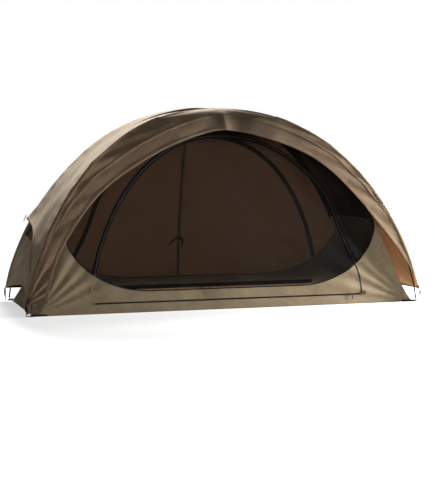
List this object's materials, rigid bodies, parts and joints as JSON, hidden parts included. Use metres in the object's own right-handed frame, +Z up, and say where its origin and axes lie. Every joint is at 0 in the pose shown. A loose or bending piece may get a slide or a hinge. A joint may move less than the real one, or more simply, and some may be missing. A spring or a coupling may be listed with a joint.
{
  "type": "cot tent",
  "caption": "Arched tent for a camp bed: crossed poles, mesh inner tent with D-shaped zip doors, and a fly with one side cut away in an arch and hooks at its corners",
  "frame": {"origin": "underside of the floor, at the middle of the tent's length and width", "axes": "+X along the tent's length, from the end where the fly has its low arched hem to the end with the straight hem; -Y is the open front side; +Z up"},
  "size_m": [2.1326, 0.7532, 1.033],
  "materials": {
    "fly_cloth": "coated polyester taffeta, satin sheen",
    "wall_cloth": "plain polyester, matt",
    "insect_mesh": "black insect netting",
    "floor_cloth": "coated groundsheet, matt",
    "zip_black": "coil zip on woven tape",
    "webbing_black": "woven webbing",
    "plastic_black": "moulded, fine texture",
    "pole_metal": "anodised tube",
    "elastic_white": "braided shock cord",
    "slider_black": "black zip slider"
  },
  "bodies": {
    "inner_tent": {"pole_a_section_1": "pole_metal", "pole_a_section_2": "pole_metal", "pole_a_section_3": "pole_metal", "pole_a_section_4": "pole_metal", "pole_a_section_5": "pole_metal", "pole_b_section_1": "pole_metal", "pole_b_section_2": "pole_metal", "pole_b_section_3": "pole_metal", "pole_b_section_4": "pole_metal", "pole_b_section_5": "pole_metal", "pole_a_shock_cord": "elastic_white", "pole_b_shock_cord": "elastic_white", "pole_tip_front_left": "plastic_black", "pole_tip_front_right": "plastic_black", "pole_tip_back_left": "plastic_black", "pole_tip_back_right": "plastic_black", "crossing_hub": "plastic_black", "clip_front_left": "plastic_black", "clip_front_right": "plastic_black", "clip_back_left": "plastic_black", "clip_back_right": "plastic_black", "floor": "floor_cloth", "front_wall": "wall_cloth", "front_mesh": "insect_mesh", "front_door_zip": "zip_black", "front_door_foot": "wall_cloth", "back_wall": "wall_cloth", "back_mesh": "insect_mesh", "back_door_zip": "zip_black", "back_door_foot": "wall_cloth", "left_wall": "wall_cloth", "left_mesh": "insect_mesh", "right_wall": "wall_cloth", "right_mesh": "insect_mesh", "corner_tab_front_left": "webbing_black", "corner_tab_front_right": "webbing_black", "corner_tab_back_left": "webbing_black", "corner_tab_back_right": "webbing_black"},
    "front_door": {"front_door": "insect_mesh"},
    "back_door": {"back_door": "insect_mesh"},
    "front_door_slider": {"front_door_slider": "slider_black"},
    "back_door_slider": {"back_door_slider": "slider_black"},
    "fly": {"fly_front_panel": "fly_cloth", "fly_left_panel": "fly_cloth", "fly_right_panel": "fly_cloth", "fly_back_panel": "fly_cloth", "fly_back_zip": "zip_black"},
    "fly_zip_slider": {"fly_back_slider": "slider_black"},
    "tensioner_front_left": {"corner_buckle_front_left": "plastic_black", "corner_strap_front_left": "webbing_black", "corner_hook_front_left": "plastic_black"},
    "tensioner_front_right": {"corner_buckle_front_right": "plastic_black", "corner_strap_front_right": "webbing_black", "corner_hook_front_right": "plastic_black"},
    "tensioner_back_left": {"corner_buckle_back_left": "plastic_black", "corner_strap_back_left": "webbing_black", "corner_hook_back_left": "plastic_black"},
    "tensioner_back_right": {"corner_buckle_back_right": "plastic_black", "corner_strap_back_right": "webbing_black", "corner_hook_back_right": "plastic_black"}
  },
  "joints": [
    {"name": "fly_lift", "type": "slide", "parent": "inner_tent", "child": "fly", "axis": [0, 0, 1], "range_m": [0, 1.15]},
    {"name": "fly_zip_run", "type": "slide", "parent": "fly", "child": "fly_zip_slider", "axis": [0, -0.1035, 0.9946], "range_m": [0, 0.2]},
    {"name": "front_door_drop", "type": "slide", "parent": "inner_tent", "child": "front_door", "axis": [0, 0, -1], "range_m": [0, 0.7], "deforming": ["front_door"]},
    {"name": "back_door_drop", "type": "slide", "parent": "inner_tent", "child": "back_door", "axis": [0, 0, -1], "range_m": [0, 0.7], "deforming": ["back_door"]},
    {"name": "front_door_zip_run", "type": "slide", "parent": "inner_tent", "child": "front_door_slider", "axis": [-1, 0, 0], "range_m": [0, 1.33]},
    {"name": "back_door_zip_run", "type": "slide", "parent": "inner_tent", "child": "back_door_slider", "axis": [1, 0, 0], "range_m": [0, 1.33]},
    {"name": "tensioner_front_left_swing", "type": "hinge", "parent": "fly", "child": "tensioner_front_left", "pos_m": [-1.0595, -0.36178, 0.0634], "axis": [-0.3231, 0.9463, 0], "range_deg": [-8, 75]},
    {"name": "tensioner_front_right_swing", "type": "hinge", "parent": "fly", "child": "tensioner_front_right", "pos_m": [1.0595, -0.36178, 0.0634], "axis": [-0.3231, -0.9463, 0], "range_deg": [-8, 75]},
    {"name": "tensioner_back_left_swing", "type": "hinge", "parent": "fly", "child": "tensioner_back_left", "pos_m": [-1.0595, 0.36178, 0.0634], "axis": [0.3231, 0.9463, 0], "range_deg": [-8, 75]},
    {"name": "tensioner_back_right_swing", "type": "hinge", "parent": "fly", "child": "tensioner_back_right", "pos_m": [1.0595, 0.36178, 0.0634], "axis": [0.3231, -0.9463, 0], "range_deg": [-8, 75]}
  ]
}
